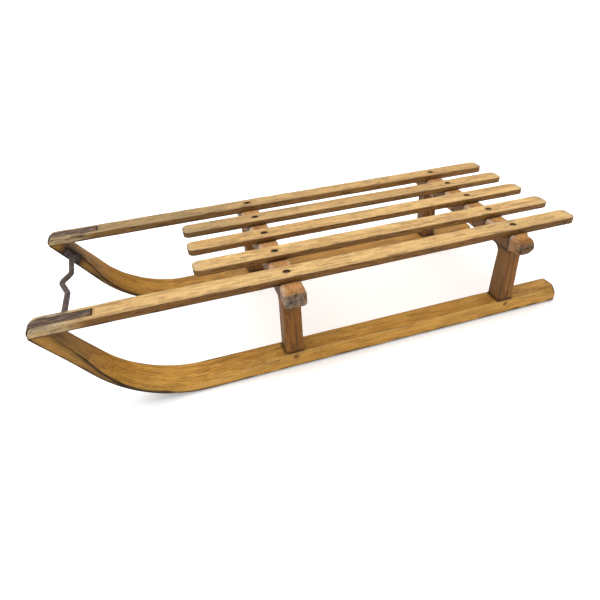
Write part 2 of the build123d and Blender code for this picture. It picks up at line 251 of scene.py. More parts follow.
def finish(piece, node, material, sharp=38):
    """Smooth shading with crisp corners, the material, and the piece's place in the frame."""
    piece.data.materials.clear()
    piece.data.materials.append(material)
    for polygon in piece.data.polygons:
        polygon.use_smooth = True
        polygon.material_index = 0
    piece.data.set_sharp_from_angle(angle=radians(sharp))
    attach(piece, "root")
    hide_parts(node)


def positions(piece):
    co = np.zeros(len(piece.data.vertices) * 3, np.float32)
    piece.data.vertices.foreach_get("co", co)
    return co.reshape(-1, 3).astype(float)


def uprightness(piece):
    """For each vertex, 0 where the surface is level and 1 where it is upright."""
    normal = np.zeros(len(piece.data.vertices) * 3, np.float32)
    piece.data.vertex_normals.foreach_get("vector", normal)
    return fade(0.3, 0.85, np.abs(normal.reshape(-1, 3)[:, 2]))


def paint(piece, grain, tone, **masks):
    """Stores what the materials read: grain coordinates, a tone near 1, and masks held between 0 and 1."""
    layer = piece.data.attributes.new("grain", "FLOAT_VECTOR", "POINT")
    layer.data.foreach_set("vector", np.asarray(grain, np.float32).ravel())
    layers = {name: np.clip(values, 0, 1) for name, values in masks.items()}
    layers["tone"] = tone
    for name, values in layers.items():
        layer = piece.data.attributes.new(name, "FLOAT", "POINT")
        values = np.broadcast_to(np.asarray(values, np.float32), (len(piece.data.vertices),))
        layer.data.foreach_set("value", np.ascontiguousarray(values))


# ---- materials
# A colour mix node's sockets: its first inputs and outputs are for plain numbers and vectors.
MIX_FIRST, MIX_SECOND, MIX_RESULT = 6, 7, 2


def srgb(*screen):
    """A colour given as three screen values from 0 to 255, in linear light."""
    shares = [value / 255 for value in screen]
    return tuple(c / 12.92 if c <= 0.04045 else ((c + 0.055) / 1.055) ** 2.4 for c in shares) + (1,)


DARK_LINE = srgb(92, 52, 26)
PORE = srgb(84, 54, 26)
DIRT = srgb(74, 50, 30)
DARK_STAIN_AND_SHADE = srgb(46, 32, 20)
IRON_PIT = srgb(30, 22, 20)


class Shader:
    """Writes a node tree in order."""

    def __init__(self, name):
        self.material = bpy.data.materials.new(name)
        self.material.use_nodes = True
        self.tree = self.material.node_tree
        self.surface = self.tree.nodes["Principled BSDF"]

    def fill(self, node, inputs):
        """Links or sets each named input, by whether its value is a socket."""
        for key, value in inputs.items():
            if isinstance(value, bpy.types.NodeSocket):
                self.tree.links.new(value, node.inputs[key])
            else:
                node.inputs[key].default_value = value

    def new(self, kind, inputs, **settings):
        node = self.tree.nodes.new(kind)
        for key, value in settings.items():
            setattr(node, key, value)
        self.fill(node, inputs)
        return node

    def math(self, operation, a, b, clamp=False):
        node = self.new("ShaderNodeMath", {0: a, 1: b}, operation=operation, use_clamp=clamp)
        return node.outputs[0]

    def times(self, a, b, clamp=False):
        return self.math("MULTIPLY", a, b, clamp)

    def plus(self, a, b, clamp=False):
        return self.math("ADD", a, b, clamp)

    def attribute(self, name, output="Fac"):
        return self.new("ShaderNodeAttribute", {}, attribute_name=name).outputs[output]

    def stretch(self, vector, scale, offset=(0, 0, 0)):
        inputs = {0: vector, 1: scale, 2: offset}
        return self.new("ShaderNodeVectorMath", inputs, operation="MULTIPLY_ADD").outputs[0]

    def noise(self, vector, detail=3.0, roughness=0.55):
        inputs = {"Vector": vector, "Scale": 1, "Detail": detail, "Roughness": roughness}
        return self.new("ShaderNodeTexNoise", inputs).outputs["Fac"]

    def band(self, value, low, high):
        """0 below low, 1 above high, smooth between. With low above high it runs the other way."""
        inputs = {"Value": value, "From Min": low, "From Max": high}
        return self.new("ShaderNodeMapRange", inputs, interpolation_type="SMOOTHSTEP").outputs["Result"]

    def ramp(self, value, stops):
        node = self.new("ShaderNodeValToRGB", {"Fac": value})
        elements = node.color_ramp.elements
        while len(elements) < len(stops):
            elements.new(0.5)
        for element, (position, colour) in zip(elements, stops):
            element.position = position
            element.color = colour
        return node.outputs["Color"]

    def mix(self, factor, a, b, blend="MIX"):
        inputs = {"Factor": factor, MIX_FIRST: a, MIX_SECOND: b}
        return self.new("ShaderNodeMix", inputs, data_type="RGBA", blend_type=blend).outputs[MIX_RESULT]

    def toned(self, colour, powers):
        """The colour multiplied by the tone, which is raised to its own power in each channel."""
        tone = self.attribute("tone")
        channels = {k: self.math("POWER", tone, power) for k, power in enumerate(powers)}
        tint = self.new("ShaderNodeCombineColor", channels)
        return self.mix(1, colour, tint.outputs["Color"], "MULTIPLY")

    def bump(self, height, strength, distance):
        inputs = {"Strength": strength, "Distance": distance, "Height": height}
        return self.new("ShaderNodeBump", inputs).outputs["Normal"]


def wood(name, palette, ring_scale, ring_mix, streaks, gloss=0.42, lines=0):
    """Old oiled wood: growth rings, streaks, pores, dirt, rubbed edges, grey weathering, and dark stains
    together with painted shade.
    """
    light, middle, dark, pale, grey = (srgb(*colour) for colour in palette)
    s = Shader(name)
    grain = s.attribute("grain", "Vector")
    wear, stain, weather = (s.attribute(mask) for mask in ("wear", "stain", "weather"))

    broad = s.noise(s.stretch(grain, (3.2, 42, 42)), detail=4, roughness=0.6)
    fibre = s.noise(s.stretch(grain, (22, 620, 620)), detail=4, roughness=0.65)
    fine = s.noise(s.stretch(grain, (70, 2400, 2400)), detail=2)
    patch = s.noise(s.stretch(grain, (9, 28, 28), (3, 5, 7)), detail=5, roughness=0.62)
    speck = s.noise(s.stretch(grain, (190, 520, 520), (1, 2, 3)), detail=3, roughness=0.6)
    wave = {"Vector": s.stretch(grain, (0.35, 1, 1), (0, 0.021, 0.034)), "Scale": ring_scale,
            "Distortion": 3.2, "Detail": 3, "Detail Scale": 0.9, "Detail Roughness": 0.6}
    ring = s.new("ShaderNodeTexWave", wave, wave_type="RINGS", rings_direction="X", wave_profile="SAW")

    # The growth rings, broad streaks and fibres together give the figure.
    rings = s.times(ring.outputs["Fac"], ring_mix)
    fibres = 1.15 - ring_mix - streaks * 0.5
    figure = s.plus(rings, s.plus(s.times(broad, streaks), s.times(fibre, fibres)))
    colour = s.ramp(figure, [(0.22, dark), (0.47, middle), (0.78, light)])
    colour = s.mix(s.times(s.band(patch, 0.5, 0.72), 0.55), colour, middle)
    colour = s.mix(s.times(s.band(fibre, 0.5, 0.36), 0.6), colour, dark)
    if lines:
        colour = s.mix(s.times(s.band(fibre, 0.56, 0.66), lines), colour, DARK_LINE)
    colour = s.mix(s.times(s.band(fine, 0.43, 0.32), 0.65), colour, PORE)

    # Weathered parts lose their varnish: grey-green, streaked along the grain.
    loss = s.band(s.plus(fibre, s.times(patch, 0.8)), 0.66, 1.02)
    weathered = s.times(weather, s.plus(s.times(loss, 0.75), 0.25), clamp=True)
    colour = s.mix(s.times(weathered, 0.9), colour, grey)

    # Rubbed arrises are bare and pale, broken up by noise.
    broken = s.band(s.plus(speck, s.times(patch, 0.7)), 0.66, 0.95)
    rubbed = s.times(wear, broken, clamp=True)
    colour = s.mix(s.times(rubbed, 0.8), colour, pale)

    # Dirt in specks, then the mask's dark colour: real stains in some places and painted shade in others.
    dirt = s.times(s.band(speck, 0.58, 0.67), s.band(patch, 0.4, 0.58))
    colour = s.mix(s.times(dirt, 0.62), colour, DIRT)
    stained_and_shaded = s.times(stain, s.plus(s.times(fibre, 1.5), 0.2), clamp=True)
    colour = s.mix(stained_and_shaded, colour, DARK_STAIN_AND_SHADE)
    # Where the tone is low the wood is darker and browner, from old oil gone dark and, on the boards'
    # upright sides, from painted shade: green and blue fall faster than red.
    colour = s.toned(colour, (1, 1.28, 1.75))

    rough = s.plus(gloss, s.times(s.plus(rubbed, weathered), 0.22))
    rough = s.plus(rough, s.times(patch, 0.18), clamp=True)
    height = s.plus(s.times(fibre, 0.6), s.times(s.band(fine, 0.44, 0.3), -0.35))
    height = s.plus(height, s.times(broad, 0.9))
    height = s.plus(height, s.times(dirt, -0.3))
    s.fill(s.surface, {"Base Color": colour, "Roughness": rough, "Specular IOR Level": 0.16,
                       "Normal": s.bump(height, 0.55, 0.0007)})
    return s.material


def iron(name, base, rust, light, gloss=0.62):
    """Old iron, browned and pitted."""
    s = Shader(name)
    place = s.attribute("grain", "Vector")
    wear = s.attribute("wear")
    cloud = s.noise(s.stretch(place, (60, 90, 90)), detail=5, roughness=0.65)
    pit = s.noise(s.stretch(place, (420, 520, 520)), detail=4, roughness=0.7)
    colour = s.ramp(cloud, [(0.32, base), (0.52, rust), (0.72, light)])
    colour = s.mix(s.times(s.band(pit, 0.5, 0.36), 0.75), colour, IRON_PIT)
    rubbed = s.times(wear, s.band(pit, 0.42, 0.62), clamp=True)
    colour = s.mix(s.times(rubbed, 0.7), colour, light)
    rough = s.plus(gloss, s.times(cloud, 0.3), clamp=True)
    s.fill(s.surface, {"Base Color": s.toned(colour, (1, 1, 1)), "Metallic": 0.25, "Roughness": rough,
                       "Normal": s.bump(s.plus(pit, s.times(cloud, 0.6)), 0.6, 0.0006)})
    return s.material


# Each wood's colours: light, middle and dark figure, bare wood on rubbed edges, and weathered grey.
BOARD_WOOD = wood("board_wood",
                  [(222, 182, 118), (192, 149, 90), (130, 90, 44), (216, 194, 162), (146, 130, 100)],
                  ring_scale=60, ring_mix=0.34, streaks=0.55)
RUNNER_WOOD = wood("runner_wood",
                   [(212, 162, 76), (188, 134, 52), (136, 88, 24), (206, 172, 114), (124, 98, 54)],
                   ring_scale=55, ring_mix=0.3, streaks=0.55, gloss=0.36)
CROSSBAR_WOOD = wood("crossbar_wood",
                     [(200, 142, 80), (176, 120, 63), (112, 68, 34), (208, 190, 166), (116, 108, 98)],
                     ring_scale=85, ring_mix=0.5, streaks=0.35, lines=0.35)
LEG_WOOD = wood("leg_wood",
                [(134, 86, 28), (102, 62, 15), (54, 28, 7), (136, 104, 66), (116, 92, 62)],
                ring_scale=80, ring_mix=0.42, streaks=0.5, gloss=0.4, lines=0.3)
BAND_IRON = iron("band_iron", srgb(42, 30, 24), srgb(90, 66, 50), srgb(142, 114, 92))
ROD_IRON = iron("rod_iron", srgb(46, 38, 34), srgb(78, 62, 54), srgb(118, 98, 86), gloss=0.5)
SCREW_IRON = iron("screw_iron", srgb(40, 32, 28), srgb(72, 56, 46), srgb(116, 96, 80), gloss=0.5)


# ---- seat boards
END_ROUND = 0.013
TIP_ROUND = 0.012
BOARD_TOP_EDGE = 0.0026
BOARD_BOTTOM_EDGE = 0.0015
HOLE_RADIUS = 0.0055
HOLE_DEPTH = 0.005
BAND_TOP_END = 0.408
GROOVE_X = BAND_TOP_END - 0.0018
GROOVE_HALF = 0.0104


def end_shape(distance, radius):
    """How far the side of a board draws in, at a distance from its end, for a rounded corner."""
    d = np.clip(distance, 0, radius)
    return radius - np.sqrt(np.maximum(radius**2 - (radius - d) ** 2, 0))


def hole_cutter(x, y, seed):
    """A recess with a slightly worn, flared mouth."""
    profile = [(0, TOP - HOLE_DEPTH), (HOLE_RADIUS * 0.96, TOP - HOLE_DEPTH), (HOLE_RADIUS, TOP - 0.0012),
               (HOLE_RADIUS * 1.1, TOP - 0.0004), (HOLE_RADIUS * 1.2, TOP + 0.002), (0, TOP + 0.002)]
    points, faces = lathe(profile, 28)
    wobble = 1 + 0.06 * noise(points / 0.006 + seed, 1, seed)
    points[:, :2] *= wobble[:, None]
    points[:, 0] *= 1.06
    points[:, :2] += (x, y)
    return points, faces


def board_shape(node, seed, nose):
    """A worn board with its screw recesses. A nose adds the rolled tip and the groove for the band."""
    low, high = np.array(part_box(node))
    reach = 0.0042
    ends_x = np.array([0, 0.3, 0.8, 1.6, 2.6, 4, 5.6, 7.5, 9.5, 11.5, 13.5]) * MM
    middle = np.arange(low[0] + 0.017, high[0] - 0.016, 0.004)
    xs = np.concatenate([low[0] + ends_x, middle, high[0] - ends_x[::-1]])
    ys = steps(low[1], high[1], reach, 0.004)
    zs = steps(low[2], high[2], reach, 0.003)
    points, faces = cuboid(xs, ys, zs)

    middle_y = (low[1] + high[1]) / 2
    is_top = points[:, 2] > (low[2] + high[2]) / 2
    worn = noises(points, (14, 60, 60), (55, 90, 90), seed)
    radius = np.where(is_top, BOARD_TOP_EDGE, BOARD_BOTTOM_EDGE) * (1 + 0.45 * worn)
    points = round_edges(points, low, high, radius)

    rear = end_shape(points[:, 0] - low[0], END_ROUND)
    front = end_shape(high[0] - points[:, 0], END_ROUND) if not nose else 0
    half = (high[1] - low[1]) / 2
    points[:, 1] = middle_y + (points[:, 1] - middle_y) * (half - np.maximum(rear, front)) / half
    if nose:
        # The rail's top rolls down to the tip, just inside the band.
        drop = end_shape(high[0] - points[:, 0], TIP_ROUND)
        share = (points[:, 2] - low[2]) / (high[2] - low[2])
        points[:, 2] -= drop * share

    normal = vertex_normals(points, faces)
    sway = noise(points, (2.2, 0.001, 0.001), seed + 2) * 0.0007
    points[:, 1] += sway * rise(0, 0.1, high[0] - points[:, 0])
    ripple = noises(points, (30, 130, 130), (130, 220, 220), seed + 3, 0.00012, 0.00008)
    points += normal * np.minimum(ripple, 0.0001)[:, None]
    points[:, 0] = np.clip(points[:, 0], low[0], high[0])
    points[:, 2] = np.clip(points[:, 2], low[2], high[2])

    piece = make(f"{node}_wood", points, faces)
    cutters = [hole_cutter(x, middle_y, seed + k) for k, x in enumerate(CROSSBAR_X)]
    if nose:
        arc = [(NOSE_X + (NOSE_RADIUS - IRON) * cos(a), NOSE_Z + (NOSE_RADIUS - IRON) * sin(a))
               for a in np.linspace(pi / 2, 0, 9)]
        below, above, ahead = low[2] - 0.01, TOP + 0.01, FRONT + 0.02
        outline = [(GROOVE_X, TOP - IRON), *arc, (FRONT - IRON, below), (ahead, below), (ahead, above),
                   (GROOVE_X, above)]
        cutters.append(prism(outline, middle_y - GROOVE_HALF, middle_y + GROOVE_HALF, "Y"))
    cut(piece, cutters)
    return piece


def board(node, seed, tone, side_shade_tone, weathering, nose=False):
    """A slat, or with a nose a rail. The weathering grows between two places in X to the given amount."""
    piece = board_shape(node, seed, nose)
    low, high = np.array(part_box(node))
    middle_y = (low[1] + high[1]) / 2
    half = (high[1] - low[1]) / 2
    start, end, amount = weathering
    p = positions(piece)
    px, py, pz = p.T
    from_side = half - np.abs(py - middle_y)
    from_top = TOP - pz
    from_bottom = pz - low[2]
    from_end = np.minimum(px - low[0], high[0] - px)
    top_edge = fade(0.0005, 0.0045, from_side + from_top)
    end_edge = fade(0.002, 0.022, from_end)
    wear = np.clip(top_edge * 0.75 + end_edge * 0.45, 0, 1)
    blotch = noise(p, (9, 30, 30), seed + 5)
    # Darker along the lower edge of the sides, and in a thin line just under the upper arris.
    stain = 0.9 * fade(0.0004, 0.003, from_side * 0.6 + from_bottom)
    stain += 0.28 * fade(0, 0.0022, np.abs(from_side - 0.0012) + from_top * 0.6)
    streak = noises(p, (36, 110, 700), (110, 200, 1300), seed + 7, 0.6, 0.4)
    stain += 0.6 * rise(0.15, 0.55, streak) * (from_side < 0.003) * (from_top > 0.001)
    stain += 0.4 * rise(0.36, 0.66, noise(p, (40, 420, 60), seed + 9)) * (from_top < 0.001)
    stain += 0.6 * rise(0.003, 0, from_end)
    on_side = uprightness(piece)
    for x in CROSSBAR_X:
        # Darker round each screw recess, and dark inside it: painted shade in the recess.
        away = np.hypot((px - x) / 1.5, py - middle_y)
        stain += (0.5 if x > 0 else 0.3) * fade(0.005, 0.008, away)
        inside = (np.hypot(px - x, py - middle_y) < 0.0066) & (from_top > 0.001)
        stain = np.where(inside, 0.85 if x > 0 else 0.5, stain)
        joint = np.maximum(np.abs(px - x) - 0.02, 0) + from_bottom * 0.8
        stain += 0.6 * fade(0, 0.006, joint) * (from_top > 0.001)
    if nose:
        # The groove for the band is painted black inside and darker round its edge: painted shade in the gap
        # between band and wood.
        slot = np.maximum(np.abs(py - middle_y) - GROOVE_HALF, 0)
        slot = slot + np.maximum(GROOVE_X - 0.0007 - px, 0)
        in_groove = (slot < 0.0002) & (from_top > 0.0006) & (px > GROOVE_X - 0.002)
        stain = np.where(in_groove, 1, stain)
        stain += 0.5 * fade(0, 0.0022, slot) * (px > GROOVE_X - 0.004)
    weather = amount * rise(start, end, px + 0.03 * blotch)
    weather += 0.22 * rise(0.35, 0.9, blotch) + 0.4 * end_edge
    if nose:
        bare = rise(0.405, 0.45, px + 0.02 * blotch)
        on_side = on_side * (1 - 0.9 * bare)
        weather += 0.35 * bare
        wear = np.clip(wear + 0.75 * bare * (1 - 0.4 * uprightness(piece)), 0, 1)
        stain += 0.6 * bare * rise(0.05, 0.5, noise(p, (60, 420, 420), seed + 12))
    # The tone varies a little along the board, and side_shade_tone darkens its upright sides: painted shade
    # for sides that face away from the overhead light, together with old oil on them.
    glow = (1 + 0.07 * noise(p, (5, 30, 1), seed + 6)) * (1 - (1 - side_shade_tone) * on_side)
    grain = p + (seed * 0.37, -middle_y + 0.003 * (seed % 5), seed * 0.011 - low[2])
    paint(piece, grain, tone * glow, wear=wear * (1 - 0.7 * on_side), stain=stain, weather=weather)
    finish(piece, node, BOARD_WOOD)


board("side_rail_left", 11, tone=0.98, side_shade_tone=0.27, weathering=(0.34, 0.49, 0.8), nose=True)
board("side_rail_right", 23, tone=0.84, side_shade_tone=0.46, weathering=(-0.3, 0.44, 0.75), nose=True)
board("seat_slat_left", 31, tone=1, side_shade_tone=0.34, weathering=(0.18, 0.3, 0.2))
board("seat_slat_centre", 43, tone=1, side_shade_tone=0.33, weathering=(0.2, 0.3, 0.2))
board("seat_slat_right", 53, tone=0.9, side_shade_tone=0.4, weathering=(-0.3, 0.3, 0.55))


# ---- runners
# The planed section: the place, then in millimetres the height on the right side and on the left, and how
# much each side is narrowed. The place is X in metres, degrees round the bend, or millimetres up the upturn.
SOLE_TABLE = [(0.124, 34, 34, 0), (0.159, 34, 26, 0), (0.204, 34, 18, 0)]
BEND_TABLE = [(0, 34, 13, 0), (10, 34, 10, 0), (20, 33, 8, 0), (30, 31.5, 6.5, 0), (35, 30.5, 7, 0),
              (40, 29, 8.5, 0), (45, 28, 11, 0), (49, 27, 12.5, 0)]
UPTURN_TABLE = [(0, 26.5, 14, 0), (15, 26.5, 17.5, 0.5), (31, 26.5, 21, 1), (60, 26.5, 25.5, 2),
                (160, 26.5, 25.5, 2)]
STATIONS = (SOLE_TABLE
            + [(BEND_START + BEND_RADIUS * radians(a), *rest) for a, *rest in BEND_TABLE]
            + [(BEND_END + run * MM, *rest) for run, *rest in UPTURN_TABLE])
RUNNER_HEIGHT = 0.031
UPTURN_RUN = 0.1185
HEEL_CORNER = 0.003
HEEL_CLIP = 0.015
HEEL_CLIP_LENGTH = 0.055
LEG_HALF_X = 0.017
LEG_HALF_Y = 0.0182
PIN_Z = 0.026
PIN_RECESS = 0.0025
ROD_X, ROD_Z = 0.466, 0.158


def section(s, across):
    """The runner's height at s, from its right side (0) to its left (1), and each side's narrowing."""
    places = [row[0] for row in STATIONS]
    right, left, narrow = (np.interp(s, places, [row[k] * MM for row in STATIONS]) for k in (1, 2, 3))
    return right + (left - right) * across, narrow


def along(s, inset, level_end=None):
    """Places (x, z) at a distance s along the band's outer face and an inset from that face."""
    angle = np.clip((s - BEND_START) / BEND_RADIUS, 0, BEND_ANGLE)
    run = np.maximum(s - BEND_END, 0)
    if level_end:
        # The upturn's end is cut level, so each inset has its own length.
        start_z = BEND_RADIUS - (BEND_RADIUS - inset) * COS
        run = run / level_end * ((RAIL_BOTTOM - start_z) / SIN)
    x = np.minimum(s, BEND_START) + (BEND_RADIUS - inset) * np.sin(angle) + run * COS
    z = BEND_RADIUS - (BEND_RADIUS - inset) * np.cos(angle) + run * SIN
    return x, z


def distance_along(x, z):
    """The inverse of along, to find grain coordinates for any place in a runner."""
    turn = np.arctan2(x - BEND_START, BEND_RADIUS - z)
    in_bend = (x > BEND_START) & (turn < BEND_ANGLE)
    in_upturn = (x > BEND_START) & ~in_bend
    base_x = BEND_START + BEND_RADIUS * SIN
    base_z = BEND_RADIUS * (1 - COS)
    s = np.where(in_bend, BEND_START + BEND_RADIUS * turn, x)
    inset = np.where(in_bend, BEND_RADIUS - np.hypot(x - BEND_START, BEND_RADIUS - z), z)
    s = np.where(in_upturn, BEND_END + (x - base_x) * COS + (z - base_z) * SIN, s)
    inset = np.where(in_upturn, (z - base_z) * COS - (x - base_x) * SIN, inset)
    return s, inset


def runner_shape(side, seed):
    """Both runners have one shape, planed on the left. Only the pins are on each one's outer side."""
    low, high = np.array(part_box(f"runner_{side}"))
    right_y, left_y = low[1], high[1]
    centre_y = (right_y + left_y) / 2
    half_y = (left_y - right_y) / 2
    s_low, s_high = low[0], BEND_END + UPTURN_RUN
    end_lines = np.array([0, 0.4, 1.2, 2.4, 4, 6, 8.5]) * MM
    middle = np.arange(s_low + 0.012, s_high - 0.006, 0.0038)
    xs = np.concatenate([s_low + end_lines, middle, s_high - end_lines[4::-1]])
    ys = steps(right_y, left_y, 0.0045, 0.0034)
    ts = steps(0, RUNNER_HEIGHT, 0.0045, 0.0032)
    points, faces = cuboid(xs, ys, ts)
    worn = noises(points, (16, 70, 70), (60, 120, 120), seed)
    left_top = (rise(0.4, 0.9, (points[:, 1] - right_y) / 0.044)
                * rise(0.4, 0.9, points[:, 2] / RUNNER_HEIGHT))
    radius = (0.0019 + 0.0014 * left_top) * (1 + 0.5 * worn)
    points = round_edges(points, (s_low, right_y, 0), (s_high, left_y, RUNNER_HEIGHT), radius)

    s, y, t = points.T
    across = (y - right_y) / (left_y - right_y)
    local_top, narrow = section(s, across)
    inset = IRON + t / RUNNER_HEIGHT * (local_top - IRON)
    y = right_y + narrow + across * (left_y - right_y - 2 * narrow)
    # The heel is clipped a little at its upright corners, and deeply along its left top edge.
    heel = s - s_low
    y = centre_y + (y - centre_y) * (1 - np.clip(HEEL_CORNER - heel, 0, HEEL_CORNER) / half_y)
    uneven = 1 + 0.12 * noise(points, (60, 1, 1), seed + 2)
    depth = HEEL_CLIP * np.clip(1 - heel / HEEL_CLIP_LENGTH, 0, 1) * uneven
    excess = np.clip(depth - (left_y - y) - (local_top - inset), 0, None) / 2
    y = y - excess
    inset = inset - excess
    x, z = along(s, inset, UPTURN_RUN)
    points = np.stack([x, y, z], 1)
    unbent = np.stack([s, y, inset], 1)
    ripple = noises(unbent, (28, 110, 110), (120, 260, 260), seed + 3, 0.00025, 0.00012)
    chips = rise(0.35, 0.9, noise(unbent, (45, 90, 90), seed + 5))
    edge = np.exp(-((left_y - y) + (local_top - inset)) / 0.003)
    dent = np.minimum(ripple, 0) * 1.2 - chips * edge * 0.0011
    points = pushed(points, faces, dent * rise(0, 0.002, inset - IRON))
    points[:, 0] = np.clip(points[:, 0], low[0], high[0])

    piece = make(f"runner_{side}_wood", points, faces)
    pin_y, outward = (left_y, 1) if side == "left" else (right_y, -1)
    cutters = []
    for x in CROSSBAR_X:
        ring = [(x + 0.0038 * cos(a), PIN_Z + 0.0036 * sin(a))
                for a in np.linspace(0, 2 * pi, 24, endpoint=False)]
        recess = sorted((pin_y - PIN_RECESS * outward, pin_y + 0.004 * outward))
        cutters.append(prism(ring[::-1], *recess, "Y"))
    cut(piece, cutters)
    return piece


def runner(side, seed, tone):
    """A runner, dirty in the bend, along its arrises and round its joints."""
    piece = runner_shape(side, seed)
    low, high = np.array(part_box(f"runner_{side}"))
    right_y, left_y = low[1], high[1]
    pin_y = left_y if side == "left" else right_y
    centre_y = (right_y + left_y) / 2
    p = positions(piece)
    px, y, pz = p.T
    s, inset = distance_along(px, pz)
    local_top, _ = section(s, np.clip((y - right_y) / (left_y - right_y), 0, 1))
    from_top = local_top - inset
    from_left = left_y - y
    from_right = y - right_y
    lift = rise(0.18, 0.3, s) * fade(BEND_END, BEND_END + 0.03, s)
    left_edge = fade(0.0006, 0.0048, from_top + from_left)
    right_edge = fade(0.0006, 0.0048, from_top + from_right)
    wear = left_edge * (1 - 0.6 * lift) + 0.55 * right_edge
    unbent = np.stack([s, y, inset], 1)
    # Darker along the bottom next to the iron, with a ragged upper edge.
    ragged = 0.0025 * noise(unbent, (60, 60, 60), seed + 12)
    stain = 0.95 * fade(0.0008, 0.0052, inset - IRON + ragged)
    arris = fade(0, 0.003, np.abs(from_top - 0.0012) + np.clip(from_left - 0.002, 0, None))
    stain += 0.85 * arris * rise(0.28, 0.37, s) * fade(0.54, 0.56, s)
    strip = fade(0.0002, 0.0016, from_left) * rise(0.3, 0.4, s)
    stain += strip * (0.3 + 0.5 * rise(-0.2, 0.5, noise(unbent, (40, 90, 260), seed + 11)))
    stain += 0.65 * right_edge * rise(-0.4, 0.5, noise(p, (25, 20, 20), seed + 7))
    for x in CROSSBAR_X:
        pin = np.hypot(px - x, pz - PIN_Z)
        stain += 0.7 * fade(0.0036, 0.006, pin) * (np.abs(y - pin_y) < 0.004)
        foot_x = np.maximum(np.abs(px - x) - LEG_HALF_X, 0)
        foot_y = np.maximum(np.abs(y - centre_y) - LEG_HALF_Y, 0)
        stain += 0.8 * fade(0, 0.0045, np.hypot(foot_x, foot_y)) * (from_top < 0.003)
    heel = px - low[0]
    stain += 0.5 * fade(0.0005, 0.009, heel)
    stain += 0.3 * rise(0.15, 0.6, noise(unbent, (22, 260, 420), seed + 10))
    if side == "right":
        # Round the draw rod's plate the left side face is painted very dark: painted shade under the rail
        # together with dark weathering.
        plate = np.hypot(px - ROD_X, pz - ROD_Z)
        stain += 1.3 * fade(0.012, 0.036, plate) * rise(0.02, 0, from_left)
    blotch = noise(unbent, (8, 40, 40), seed + 8)
    weather = 0.7 * rise(BEND_END - 0.03, BEND_END + 0.06, s + 0.02 * blotch)
    weather += 0.35 * rise(0.2, 0.8, blotch)
    weather += 0.8 * rise(0.34, 0.42, s) * fade(0, 0.003, from_left)
    glow = 1 + 0.05 * noise(np.stack([s, y * 0, y * 0], 1), (5, 1, 1), seed + 9)
    glow = 0.9 * glow * (1 - 0.22 * rise(0.33, 0.46, s))
    grain = np.stack([s + seed * 0.31, y - right_y + 0.004, inset + seed * 0.013], 1)
    paint(piece, grain, tone * glow, wear=wear, stain=stain, weather=weather)
    finish(piece, f"runner_{side}", RUNNER_WOOD)


runner("left", 61, tone=1)
runner("right", 73, tone=0.9)


# ---- crossbars
KNUCKLE_TOP = 0.017
KNUCKLE_BOTTOM = 0.01
SEAT_LINES = (-0.0202, -0.0198, 0.0198, 0.0202)
SEAT_GAP = 0.0002


